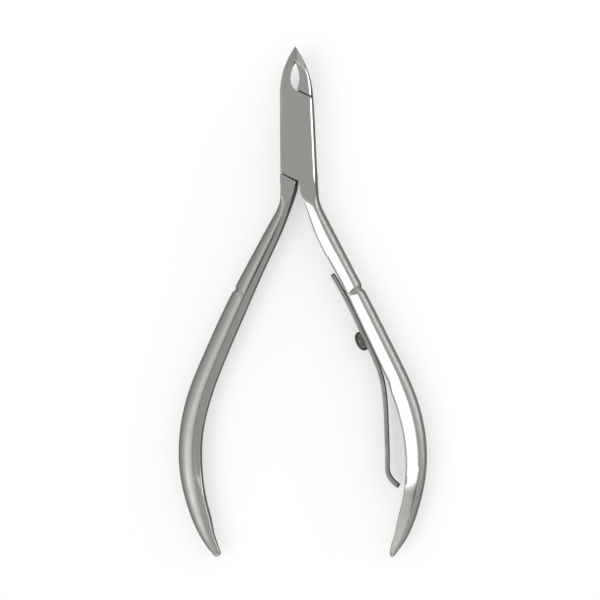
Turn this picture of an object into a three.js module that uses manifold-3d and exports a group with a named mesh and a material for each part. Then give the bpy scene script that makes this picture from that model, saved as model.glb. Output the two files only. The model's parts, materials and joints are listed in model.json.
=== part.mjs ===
// Cuticle nipper: two forged halves lapped over each other on a rivet, with a swivelling leaf
// spring screwed to one handle. It lies on its back: +Y towards the tips, +Z up from the table,
// and the origin is under the middle of its outline.
import * as THREE from 'three'
import { mergeVertices } from 'three/addons/utils/BufferGeometryUtils.js'
import Module from 'manifold-3d'

const wasm = await Module()
wasm.setup()

// overall
const overallLength = 102
const tipFromPivot = 18
const jointThickness = 5.2
const pivotY = overallLength / 2 - tipFromPivot
const halfThick = jointThickness / 2

// lap joint
const lapGap = 0.06
const shoulderUp = 9.54
const shoulderDown = 9.08
const shoulderSlope = 0.545
const shoulderGapInner = 0.3
const shoulderGapOuter = 0.1
const lapEdgeFree = 3.2
const lapEdgeHandle = 3.5

// rivet
const rivetRadius = 1.6
const rivetHeadRadius = 2.3
const rivetHeadDepth = 0.7
const rivetDepthInFront = 1.9
const runningClearance = 0.05
const seatClearance = 0.02

// jaws
const jawHalfWidth = 3.1
const jawArcRadius = 17.6
const jawArcStart = 8
const bladeGap = 0.02
const hollowHalfWidth = 0.85
const hollowBottom = 9.3
const hollowTop = 14.9
const bevelCorner = new THREE.Vector2(2.6, 12.5)
const bevelTop = 15
const bevelAngle = 20
const backSlopeStart = 5
const backSlopeRise = 0.3

// handle stations from the joint to the end: centre x, centre y, half width, half thickness
const handleStations = [
  [1.7, -6.5, 1.7, 3.3],
  [1.96, -10, 1.6, 3.1],
  [2.68, -13, 1.32, 2.7],
  [4.25, -17, 1.48, 2.35],
  [8.24, -25, 1.76, 2.15],
  [13, -34.5, 1.93, 2.1],
  [17.45, -44, 2.08, 2.1],
  [20.73, -52, 2.26, 2.1],
  [22.55, -60, 2.3, 2.1],
  [22.6, -67, 2.22, 2],
  [21.4, -74, 1.85, 1.75],
  [19.15, -80.5, 1.22, 1.25],
  [17.6, -83.2, 0.75, 0.8],
  [17.25, -83.85, 0.3, 0.35]
]
const handleRings = 66
const innerFaceShare = 0.55
const ridgePlace = 0.32
const arcSteps = 14
const squareUntil = 2.2
const roundFrom = 4
const notchY = -31.1
const notchDepth = 0.24
const notchHalfLength = 0.8

// spring and screw, in the frame of the screw: along the handle, and off its inner face
const screwCentre = new THREE.Vector2(15.37, -39.65)
const handleLean = THREE.MathUtils.degToRad(24.6)
const innerFaceOffset = 1.92
const leafThickness = 0.75
const leafWidth = 3
const leafSeat = 0.12
const leafHoleRadius = 1.15
const leafPath = [
  [-14.7, 0.45],
  [-9, 0.06],
  [0, 0],
  [4.5, 0.02],
  [8, 0.36],
  [12.7, 1.7],
  [18.6, 4.15],
  [24.4, 6.75],
  [26.1, 7.4],
  [27.4, 7.3],
  [29.1, 6.55]
]
const screwHeadRadius = 1.95
const screwHeadHeight = 1.65
const screwShankRadius = 0.95
const screwDepth = 2.6
const slotWidth = 0.5
const slotDepth = 0.5

function solidFrom(geometry) {
  const plain = geometry.index ? geometry.toNonIndexed() : geometry.clone()
  plain.deleteAttribute('normal')
  plain.deleteAttribute('uv')
  const merged = mergeVertices(plain, 1e-5)
  const place = merged.attributes.position.array
  const faces = Array.from(merged.index.array)
  if (signedVolume(place, faces) < 0) faces.reverse()
  const mesh = new wasm.Mesh({
    numProp: 3,
    vertProperties: new Float32Array(place),
    triVerts: new Uint32Array(faces)
  })
  return new wasm.Manifold(mesh)
}

function signedVolume(place, faces) {
  const corner = (k) => new THREE.Vector3().fromArray(place, 3 * faces[k])
  let sum = 0
  for (let k = 0; k < faces.length; k += 3) {
    sum += corner(k).dot(corner(k + 1).cross(corner(k + 2))) / 6
  }
  return sum
}

function meshFrom(name, solid, material) {
  const data = solid.getMesh()
  const geometry = new THREE.BufferGeometry()
  geometry.setAttribute('position', new THREE.BufferAttribute(new Float32Array(data.vertProperties), 3))
  geometry.setIndex(new THREE.BufferAttribute(new Uint32Array(data.triVerts), 1))
  geometry.computeVertexNormals()
  const mesh = new THREE.Mesh(geometry, material)
  mesh.name = name
  return mesh
}

// outline in x and y, carried from z = low to z = high
function slab(points, low, high) {
  const shape = new THREE.Shape(points.map(([x, y]) => new THREE.Vector2(x, y)))
  const geometry = new THREE.ExtrudeGeometry(shape, { depth: high - low, bevelEnabled: false })
  geometry.translate(0, 0, low)
  return solidFrom(geometry)
}

// outline in y and z, carried along x
function slabAcross(points, low, high) {
  const shape = new THREE.Shape(points.map(([y, z]) => new THREE.Vector2(y, z)))
  const geometry = new THREE.ExtrudeGeometry(shape, { depth: high - low, bevelEnabled: false })
  geometry.applyMatrix4(new THREE.Matrix4().set(0, 0, 1, low, 1, 0, 0, 0, 0, 1, 0, 0, 0, 0, 0, 1))
  return solidFrom(geometry)
}

// closed rings of points joined one to the next, with a fan closing each end
function loft(rings) {
  const count = rings[0].length
  const points = rings.flat()
  const ends = [rings[0], rings[rings.length - 1]]
  for (const ring of ends) {
    const middle = new THREE.Vector3()
    ring.forEach((p) => middle.add(p))
    points.push(middle.divideScalar(count))
  }
  const faces = []
  for (let r = 0; r < rings.length - 1; r++) {
    for (let k = 0; k < count; k++) {
      const a = r * count + k
      const b = r * count + ((k + 1) % count)
      faces.push(a, b, b + count, a, b + count, a + count)
    }
  }
  const last = (rings.length - 1) * count
  for (let k = 0; k < count; k++) {
    const next = (k + 1) % count
    faces.push(rings.length * count, next, k)
    faces.push(rings.length * count + 1, last + k, last + next)
  }
  const geometry = new THREE.BufferGeometry().setFromPoints(points)
  geometry.setIndex(faces)
  return solidFrom(geometry)
}

function circle(radius, steps) {
  return Array.from({ length: steps }, (_, k) => {
    const turn = (2 * Math.PI * k) / steps
    return [radius * Math.cos(turn), radius * Math.sin(turn)]
  })
}

// section of a handle, from the flat inner face over the ridge and round the outer side
function handleSection(half, thick, squareness, notch) {
  const ridge = -ridgePlace * half
  const face = innerFaceShare * thick
  const rounded = [[-half, face]]
  const square = [[-half, thick]]
  for (let k = 0; k <= arcSteps; k++) {
    const turn = (Math.PI * k) / arcSteps
    const depth = 1 - notch * Math.sin(turn)
    rounded.push([
      ridge + (half - ridge) * Math.sin(turn) * depth,
      thick * Math.cos(turn) * (1 - 0.6 * notch * Math.sin(turn))
    ])
    const along = Math.min(1, Math.sin(turn) / Math.sin(Math.PI / 4))
    const down = Math.min(1, Math.max(-1, Math.cos(turn) / Math.cos(Math.PI / 4)))
    square.push([ridge + (half - ridge) * along, thick * down])
  }
  rounded.push([-half, -face])
  square.push([-half, -thick])
  return rounded.map(([n, z], k) => [
    n + (square[k][0] - n) * squareness,
    z + (square[k][1] - z) * squareness
  ])
}

function notchAt(y) {
  const away = Math.abs(y - notchY) / notchHalfLength
  return away < 1 ? notchDepth * (1 - away) : 0
}

// neck and handle on the +x side: the section carried along the centre line
function handleSolid() {
  const line = new THREE.SplineCurve(handleStations.map(([x, y]) => new THREE.Vector2(x, y)))
  const size = new THREE.SplineCurve(handleStations.map(([, , w, h]) => new THREE.Vector2(w, h)))
  const spans = handleStations.length - 1
  const places = Array.from({ length: handleRings }, (_, k) => k / (handleRings - 1))
  const below = handleStations.findIndex(([, y]) => y < notchY)
  const startY = handleStations[below - 1][1]
  const spanLength = startY - handleStations[below][1]
  for (let k = -4; k <= 4; k++) {
    const y = notchY + (k * notchHalfLength) / 4
    places.push((below - 1 + (startY - y) / spanLength) / spans)
  }
  places.sort((a, b) => a - b)
  const rings = places.map((t) => {
    const centre = line.getPoint(t)
    const tangent = line.getTangent(t)
    const wide = size.getPoint(t)
    const place = t * spans
    const squareness = 1 - THREE.MathUtils.smoothstep(place, squareUntil - 1.2, roundFrom)
    const section = handleSection(wide.x, wide.y, squareness, notchAt(centre.y))
    return section.map(([n, z]) => new THREE.Vector3(centre.x - tangent.y * n, centre.y + tangent.x * n, z))
  })
  const bar = [[-9, 0], [30, 0], [30, -90], [-9, -90]]
  return loft(rings).intersect(slab(bar, -halfThick, halfThick))
}

// lap plate of the front half, between the two shoulder lines
function lapPlate() {
  const up = (x, gap) => shoulderUp - shoulderSlope * x - gap
  const down = (x, gap) => -shoulderDown - shoulderSlope * x + gap
  const outline = [
    [-lapEdgeFree + 0.15, 8.4],
    [-lapEdgeFree + 0.1, 6],
    [-lapEdgeFree, down(-lapEdgeFree, shoulderGapOuter)],
    [0.35, down(0.35, shoulderGapInner)],
    [0.6, -10.2],
    [3, -10.2],
    [lapEdgeHandle, down(-lapEdgeHandle, 0) + 0.2],
    [lapEdgeFree, up(lapEdgeFree, shoulderGapOuter)],
    [0, up(0, shoulderGapInner)],
    [-0.4, 9.1]
  ]
  return slab(outline, lapGap / 2, halfThick)
}

// space on the back layer that belongs to the other half's lap plate
function backLapSpace() {
  const up = (x) => shoulderUp + shoulderSlope * x
  const down = (x) => -shoulderDown + shoulderSlope * x
  const reach = 6
  const outline = [[-reach, up(-reach)], [-reach, down(-reach)], [reach, down(reach)], [reach, up(reach)]]
  return slab(outline, -halfThick - 1, lapGap / 2)
}

// half width of the almond hollow between the jaws, blunt below and pointed above
function hollowAt(y) {
  const u = THREE.MathUtils.clamp((y - hollowBottom) / (hollowTop - hollowBottom), 0, 1)
  return Math.max(bladeGap, hollowHalfWidth * 2.813 * Math.pow(u, 0.6) * Math.pow(1 - u, 0.95))
}

function jawOuter(y) {
  const up = Math.max(0, y - jawArcStart)
  return jawHalfWidth - jawArcRadius + Math.sqrt(jawArcRadius * jawArcRadius - up * up)
}

// left jaw, full thickness, from inside the lap plate to the tip
function leftJaw() {
  const outline = [[-bladeGap, 7], [-jawHalfWidth, 7]]
  for (let k = 0; k <= 12; k++) {
    const y = jawArcStart + ((tipFromPivot - 0.15 - jawArcStart) * k) / 12
    outline.push([-jawOuter(y), y])
  }
  outline.push([-bladeGap, tipFromPivot])
  for (let k = 0; k <= 16; k++) {
    const turn = Math.cos((Math.PI * k) / 16)
    const y = (hollowTop + hollowBottom) / 2 + ((hollowTop - hollowBottom) / 2) * turn
    outline.push([-hollowAt(y), y])
  }
  return slab(outline, -halfThick, halfThick).subtract(tipBevel())
}

// flat ground across the front of the left jaw, falling towards the tip
function tipBevel() {
  const drop = Math.tan(THREE.MathUtils.degToRad(bevelAngle))
  const across = new THREE.Vector2(-bevelCorner.x, bevelCorner.y - bevelTop)
  const angle = Math.atan2(across.y, across.x)
  const geometry = new THREE.ExtrudeGeometry(
    new THREE.Shape([
      new THREE.Vector2(0, halfThick),
      new THREE.Vector2(8, halfThick - 8 * drop),
      new THREE.Vector2(8, halfThick + 2),
      new THREE.Vector2(0, halfThick + 2)
    ]),
    { depth: 16, bevelEnabled: false }
  )
  geometry.rotateX(Math.PI / 2)
  geometry.translate(0, 8, 0)
  geometry.rotateZ(angle - Math.PI / 2)
  geometry.translate(0, bevelTop, 0)
  return solidFrom(geometry)
}

// wedge taken off the back of both halves, so that the jaws thin towards the tip
function backSlope() {
  const far = tipFromPivot + 2
  const high = -halfThick + backSlopeRise * (far - backSlopeStart)
  const outline = [[backSlopeStart, -halfThick], [far, high], [far, -halfThick - 2], [backSlopeStart, -halfThick - 2]]
  return slabAcross(outline, -8, 8)
}

function turned(solid) {
  return solid.rotate([0, 180, 0])
}

function mirrored(solid) {
  return solid.mirror([1, 0, 0])
}

// places something built along z so that z points off the handle's inner face at the screw
function atScrew(solid) {
  const off = new THREE.Vector3(-Math.cos(handleLean), -Math.sin(handleLean), 0)
  const along = new THREE.Vector3(Math.sin(handleLean), -Math.cos(handleLean), 0)
  const across = new THREE.Vector3().crossVectors(off, along)
  const face = new THREE.Vector3(screwCentre.x, screwCentre.y, 0).addScaledVector(off, innerFaceOffset)
  const frame = new THREE.Matrix4().makeBasis(along, across, off).setPosition(face)
  return solid.transform(frame.elements.slice())
}

function round(profile, steps) {
  const points = profile.map(([r, z]) => new THREE.Vector2(r, z))
  const geometry = new THREE.LatheGeometry(points, steps)
  geometry.rotateX(Math.PI / 2)
  return solidFrom(geometry)
}

// flat on the inner side of the handle, where the leaf lies
function leafFlat() {
  const outline = [[-18, 0.35], [-12, 0], [9.5, 0], [13, 0.6], [13, 2], [-18, 2]]
  return atScrew(slab(outline, -4, 4).rotate([90, 0, 0]))
}

function frontHalf() {
  const blind = slab(circle(rivetRadius + seatClearance, 48), 0, rivetDepthInFront + 0.1)
  const screwHole = atScrew(slab(circle(screwShankRadius + seatClearance, 24), -screwDepth - 0.1, 1))
  return leftJaw()
    .add(lapPlate())
    .add(handleSolid())
    .subtract(backLapSpace())
    .subtract(backSlope())
    .subtract(blind)
    .subtract(leafFlat())
    .subtract(screwHole)
}

function backHalf() {
  const bore = rivetRadius + runningClearance
  const head = rivetHeadRadius + runningClearance
  const flare = 0.02 * (head - bore) / rivetHeadDepth
  const seat = round([[0, -halfThick - 0.02], [head + flare, -halfThick - 0.02],
    [bore, -halfThick + rivetHeadDepth], [bore, 0.2], [0, 0.2]], 48)
  return mirrored(leftJaw())
    .add(turned(lapPlate().add(handleSolid())))
    .subtract(turned(backLapSpace()))
    .subtract(backSlope())
    .subtract(seat)
}

function rivet() {
  return round([[0, -halfThick], [rivetHeadRadius, -halfThick],
    [rivetRadius, -halfThick + rivetHeadDepth], [rivetRadius, rivetDepthInFront], [0, rivetDepthInFront]], 48)
}

// leaf: a thin strip along its path, with a round tail and a hole for the screw
function leafSpring() {
  const curve = new THREE.SplineCurve(leafPath.map(([u, w]) => new THREE.Vector2(u, w)))
  const upper = []
  const lower = []
  for (let k = 0; k <= 60; k++) {
    const p = curve.getPoint(k / 60)
    const t = curve.getTangent(k / 60)
    upper.push([p.x - t.y * leafThickness, p.y + t.x * leafThickness])
    lower.push([p.x, p.y])
  }
  const side = upper.concat(lower.reverse())
  const shape = new THREE.Shape(side.map(([x, y]) => new THREE.Vector2(x, y)))
  const geometry = new THREE.ExtrudeGeometry(shape, { depth: leafWidth, bevelEnabled: false })
  geometry.translate(0, 0, -leafWidth / 2)
  geometry.rotateX(Math.PI / 2)
  geometry.translate(0, 0, leafSeat)
  const half = leafWidth / 2
  const plan = []
  for (let k = 0; k <= 12; k++) {
    const turn = Math.PI / 2 + (Math.PI * k) / 12
    plan.push([-14.75 + half + half * Math.cos(turn), half * 1.01 * Math.sin(turn)])
  }
  for (let k = 0; k <= 8; k++) {
    const turn = -Math.PI / 2 + (Math.PI * k) / 8
    plan.push([28.2 + 0.9 * Math.cos(turn), half * 1.01 * Math.sin(turn)])
  }
  return solidFrom(geometry)
    .intersect(slab(plan, -2, 12))
    .subtract(slab(circle(leafHoleRadius, 32), -1, 3))
}

function screw() {
  const seat = leafSeat + leafThickness + 0.05
  const profile = [[0, -screwDepth], [screwShankRadius, -screwDepth], [screwShankRadius, seat],
    [screwHeadRadius - 0.1, seat], [screwHeadRadius, seat + 0.12], [screwHeadRadius, seat + 0.55]]
  for (let k = 1; k <= 8; k++) {
    const turn = (Math.PI / 2) * (k / 8)
    profile.push([screwHeadRadius * Math.cos(turn), seat + 0.55 + (screwHeadHeight - 0.55) * Math.sin(turn)])
  }
  profile[profile.length - 1][0] = 0
  const top = seat + screwHeadHeight
  const bar = [[-3, -slotWidth / 2], [3, -slotWidth / 2], [3, slotWidth / 2], [-3, slotWidth / 2]]
  return round(profile, 36).subtract(slab(bar, top - slotDepth, top + 1))
}

const steel = new THREE.MeshStandardMaterial({ color: 0xb9b9b7, roughness: 0.22, metalness: 1 })
const springSteel = new THREE.MeshStandardMaterial({ color: 0xa8a8a6, roughness: 0.3, metalness: 1 })
const darkSteel = new THREE.MeshStandardMaterial({ color: 0x6c6c6a, roughness: 0.35, metalness: 1 })

const nipper = new THREE.Group()
nipper.add(meshFrom('front_half', frontHalf(), steel))
nipper.add(meshFrom('back_half', backHalf(), steel))
nipper.add(meshFrom('pivot_rivet', rivet(), steel))
nipper.add(meshFrom('leaf_spring', atScrew(leafSpring()), springSteel))
nipper.add(meshFrom('spring_screw', atScrew(screw()), darkSteel))
nipper.position.set(0, pivotY, halfThick)

const group = new THREE.Group()
group.add(nipper)

export default group
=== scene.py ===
import json
import math

import bmesh
import bpy
import numpy as np
from mathutils import Matrix, Vector


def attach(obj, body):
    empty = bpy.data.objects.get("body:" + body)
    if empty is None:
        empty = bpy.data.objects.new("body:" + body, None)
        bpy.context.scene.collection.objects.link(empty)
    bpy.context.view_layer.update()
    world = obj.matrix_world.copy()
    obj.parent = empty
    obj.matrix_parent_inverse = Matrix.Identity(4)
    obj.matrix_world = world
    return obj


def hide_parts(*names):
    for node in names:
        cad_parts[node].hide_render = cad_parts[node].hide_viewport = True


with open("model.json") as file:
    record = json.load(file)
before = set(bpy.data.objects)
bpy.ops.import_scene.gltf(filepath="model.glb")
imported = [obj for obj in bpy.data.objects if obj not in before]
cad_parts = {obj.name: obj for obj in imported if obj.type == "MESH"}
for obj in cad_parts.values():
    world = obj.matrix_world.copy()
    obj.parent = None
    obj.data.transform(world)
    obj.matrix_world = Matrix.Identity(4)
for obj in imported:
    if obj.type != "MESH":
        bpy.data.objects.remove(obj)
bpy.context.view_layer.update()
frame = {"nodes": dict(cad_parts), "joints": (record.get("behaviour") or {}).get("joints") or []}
print("frame loaded:", ", ".join(sorted(frame["nodes"])))

pivot = next(j for j in frame["joints"] if j["name"] == "blade_pivot")["pos_m"]


# Lengths are in millimetres about the rivet, and become metres when a mesh is made: a thousandth of
# them, moved to the rivet's place.
def toMetres(points):
    return np.asarray(points, float) * 0.001 + np.asarray(pivot)


# 0 below low and 1 above high; between them three times the share's square less twice its cube
def smoothstep(x, low, high):
    t = np.clip((x - low) / (high - low), 0, 1)
    return t * t * (3 - 2 * t)


# lengths of the chords between stations, over their first two columns
def chords(stations):
    return np.hypot(*np.diff(np.asarray(stations, float)[:, :2], axis=0).T)


# A natural cubic curve through the stations, at chord lengths along the first two columns;
# it returns the values at the shares asked for and how fast they change.
def smoothCurve(stations, shares):
    stations = np.asarray(stations, float)
    steps = chords(stations)
    knots = np.concatenate([[0.0], np.cumsum(steps)])
    count = len(knots)
    system = np.zeros((count, count))
    right = np.zeros_like(stations)
    inner = np.arange(1, count - 1)
    system[0, 0] = system[-1, -1] = 1.0
    system[inner, inner - 1] = steps[:-1]
    system[inner, inner] = 2 * (steps[:-1] + steps[1:])
    system[inner, inner + 1] = steps[1:]
    slopes = np.diff(stations, axis=0) / steps[:, None]
    right[1:-1] = 6 * np.diff(slopes, axis=0)
    bend = np.linalg.solve(system, right)
    at = np.asarray(shares) * knots[-1]
    span = np.clip(np.searchsorted(knots, at, side="right") - 1, 0, count - 2)
    h = steps[span][:, None]
    a = (knots[span + 1] - at)[:, None]
    b = (at - knots[span])[:, None]
    near, far = stations[span], stations[span + 1]
    m0, m1 = bend[span], bend[span + 1]
    value = (m0 * a**3 + m1 * b**3) / (6 * h) + (near / h - m0 * h / 6) * a + (far / h - m1 * h / 6) * b
    rate = (-m0 * a**2 + m1 * b**2) / (2 * h) - (near / h - m0 * h / 6) + (far / h - m1 * h / 6)
    return value, rate


# shares along the stations' chord at which each station lies
def stationShares(stations):
    knots = np.concatenate([[0.0], np.cumsum(chords(stations))])
    return knots / knots[-1]


joint = {
    "halfThick": 2.6,
    "lapGap": 0.03,          # from the middle plane to each lap face
    "shoulderUp": 9.54,
    "shoulderDown": 9.08,
    "shoulderSlope": 0.545,
    "gapInner": 0.36,        # shoulder gap at the middle and at the side
    "gapOuter": 0.14,
    "freeEdge": {"front": 3.2, "back": 3.62},
    "handleEdge": {"front": 3.66, "back": 3.26},
    "edgeBreak": 0.09,       # width of the broken edges
    "wideBreak": 0.32,       # width of the rounded edge on the handle side
    "crotch": 0.3,           # how near each neck comes to the middle
    "freeFrom": (-8, 8),     # the free edge runs straight from its joint's place to the jaw's
    "handleFrom": (-10, -7, 8),
    "handleMore": (0.04, 0.1),     # how much further out the handle edge is at the neck and the jaw
    "endsFrom": 6,           # how far from the rivet the laps' ends lie at least
    "wideFrom": (-9.4, -8.0, 7.0, 7.6),      # the rounded edge comes and goes between these
    "faceLine": 0.34,        # share of the width where the line along the middle of a face runs
    "neckSoft": 0.025,       # how softly the flats run out at the neck
    # heights of the rings: runs as first, last and number, and single ones
    "levelRuns": [(9.6, 18.0, 70), (9.5, 7.7, 16), (-7.0, -9.1, 18)],
    "levels": [9.54, 7.2, 6, 5.02, 5, 4, 0, -4, -6.5, -9.25, -9.4],
}

jaw = {
    "tip": 18.0,
    "halfWidth": 3.1,
    "arcRadius": 17.6,
    "arcStart": 8.0,
    "bladeGap": 0.02,
    "leastWall": 0.01,       # least width of a jaw beside the hollow
    "hollowHalfWidth": 0.9,
    "hollowBottom": 9.3,
    "hollowTop": 14.9,
    "hollowPowers": (0.6, 0.95),
    "hollowScale": 2.813,    # brings the product of the two powers to 1 where it is widest
    "hollowFlare": 0.13,     # how much the hollow widens on each side per millimetre of depth
    "flareFrom": (0.6, 0.12),      # how far beside the hollow the flare begins and is full
    "flareFull": 0.3,        # half width of the hollow from which the flare is whole
    "groundFrom": 4.9,       # lowest ground place of the jaws
    "bevelTop": 15.0,        # where the ground bevel starts at the cut line
    "bevelRun": 1.04,        # how fast its border runs outwards
    "bevelAngle": 20.0,
    "bevelLength": 3.9,
    "borderInset": 0.28,     # how near the border comes to the outer edge
    "insetFrom": (7.6, 7.9, 12.8, 13.4),     # the outer break is as wide as that between these
    "borderBlend": 0.625,    # how softly the border turns there
    "borderStep": 0.145,     # rounded step along the border on the leaf's side
    "borderWidth": 0.25,
    "stepFrom": (11.2, 12.2),      # where the step begins and is at its full height
    "stepRoom": 1.44,        # first step of the section's rows beside the border, against its width
    "highlightBorder": (2.4, 3.4),      # length of the border with a painted highlight, on the front and on the back
    "keenFrom": (14.2, 14.8),      # the broken edges run out to keen ones from here to here
    "keenBreak": 0.015,
    "backSlopeStart": 5.0,
    "backSlopeRise": 0.3,
    "cuttingFacet": 0.36,    # narrow facet beside each cutting edge
    "facetDrop": 0.12,
    "facetFrom": (14.6, 15.2),
}


# outer edge of a jaw: straight, then an arc of one radius in to the tip
def jawOuter(y):
    up = np.clip(y - jaw["arcStart"], 0, None)
    return jaw["halfWidth"] - jaw["arcRadius"] + np.sqrt(jaw["arcRadius"] ** 2 - up**2)


# half width of the almond hollow: a power of the share from below times a power from above
def hollowAt(y):
    u = np.clip((y - jaw["hollowBottom"]) / (jaw["hollowTop"] - jaw["hollowBottom"]), 0, 1)
    low, high = jaw["hollowPowers"]
    wide = jaw["hollowHalfWidth"] * jaw["hollowScale"] * u**low * (1 - u) ** high
    return np.maximum(jaw["bladeGap"], wide)


# How far out the border of the front bevel lies: the smooth minimum of a straight line from the
# cut line and a line just inside the outer edge.
def bevelBorder(y):
    straight = (jaw["bevelTop"] - y) * jaw["bevelRun"]
    beside = jawOuter(np.clip(y, jaw["arcStart"], jaw["tip"])) - jaw["borderInset"]
    blend = jaw["borderBlend"]
    t = np.clip(0.5 + 0.5 / blend * (beside - straight), 0, 1)
    return beside * (1 - t) + straight * t - blend * t * (1 - t)


# Corners of the head's section at each y: two layers, the lap layer above the lap plane and the
# other layer below it, each from a left edge to a right edge. The laps end at shoulders, which are
# straight slanted lines, and each corner is cut off by its break. Columns are across and depth.
def headCorners(y, body):
    thick, lap = joint["halfThick"], joint["lapGap"]
    free, grip = joint["freeEdge"][body], joint["handleEdge"][body]
    slope, up, down = joint["shoulderSlope"], joint["shoulderUp"], joint["shoulderDown"]
    sideDrop = joint["gapOuter"] - joint["gapInner"]
    ends, atNeck, atJaw = joint["endsFrom"], *joint["handleMore"]
    freeEdge = -np.interp(y, joint["freeFrom"], [free, jaw["halfWidth"]])
    handleEdge = np.interp(y, joint["handleFrom"], [grip + atNeck, grip, jaw["halfWidth"] + atJaw])
    inJaw = -hollowAt(y)
    upEdge = (up - joint["gapInner"] - y) / (slope + sideDrop / free)
    downEdge = -(y + down - joint["gapInner"]) / (slope + sideDrop / free)
    crotch = joint["crotch"]
    left = np.where(y > jaw["arcStart"], -jawOuter(y), freeEdge)
    left = np.where(y < -ends, np.clip(downEdge, freeEdge, crotch), left)
    right = np.where(y > ends, np.clip(upEdge, inJaw, handleEdge), handleEdge)
    left = np.where(y > jaw["arcStart"], np.minimum(left, inJaw - jaw["leastWall"]), left)
    otherRight = np.where(y > 0, np.clip((y - up) / slope, left, inJaw), handleEdge)
    otherLeft = np.where(y > 0, left, np.clip((y + down) / slope, crotch, handleEdge))
    wide = otherRight - otherLeft
    bottom = np.where(wide > 1e-6, -thick, lap)
    c = joint["edgeBreak"]
    ct = np.minimum(c, (right - left) / 4)
    keen = np.interp(y, jaw["keenFrom"], [c, jaw["keenBreak"]])
    broad, inset = joint["wideBreak"], jaw["borderInset"]
    cr = np.interp(y, joint["wideFrom"], [c, broad, broad, c])
    cr = np.where(y > joint["wideFrom"][-1], keen, cr)
    cr = np.minimum(cr, (right - left) / 4)
    room = np.clip(wide, 0, None) / 4
    cb = np.minimum(keen, room)
    co = np.minimum(np.interp(y, jaw["insetFrom"], [c, inset, inset, c]), room)
    inBevel = y > jaw["bevelTop"] - jaw["bevelLength"]
    border, line = -bevelBorder(y), joint["faceLine"]
    crease = np.where(inBevel, np.clip(border, left + ct, right - ct), left + line * (right - left))
    otherCrease = np.where(inBevel & (wide > 0.5), np.clip(border, otherLeft + co, otherRight - cb),
                           otherLeft + line * wide)
    top = np.full_like(y, thick)
    lapLine = np.full_like(y, lap)
    corners = [
        (left, top - ct), (left + ct, top), (crease, top), (right - cr, top), (right, top - cr),
        (right, lapLine), (otherRight, lapLine), (otherRight, np.minimum(bottom + cb, lapLine)),
        (otherRight - cb, bottom), (otherCrease, bottom), (otherLeft + co, bottom),
        (otherLeft, np.minimum(bottom + co, lapLine)), (otherLeft, lapLine), (left, lapLine),
    ]
    return np.stack([np.stack(pair, axis=-1) for pair in corners], axis=1)


# points in each side of the section, from the inner front edge over the front and round the back
sectionSteps = [1, 6, 8, 2, 5, 3, 5, 2, 8, 6, 1, 3, 3, 3]
cornerAt = np.concatenate([[0], np.cumsum(sectionSteps)])
borderSide = 9                                    # the side that starts at the back's border


# Points between the corners, the same number on each side in every ring.
def fillSides(corners):
    sides = []
    for k, steps in enumerate(sectionSteps):
        a, b = corners[:, k], corners[:, (k + 1) % len(sectionSteps)]
        t = np.repeat((np.arange(steps) / steps)[None], len(a), axis=0)
        if k == borderSide:                           # room for the step along the bevel's border
            length = np.maximum(np.abs(b - a).sum(axis=1), 0.01)
            t[:, 1] = np.minimum(t[:, 1], jaw["stepRoom"] * jaw["borderWidth"] / length)
        sides.append(a[:, None] * (1 - t[..., None]) + b[:, None] * t[..., None])
    return np.concatenate(sides, axis=1)


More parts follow.
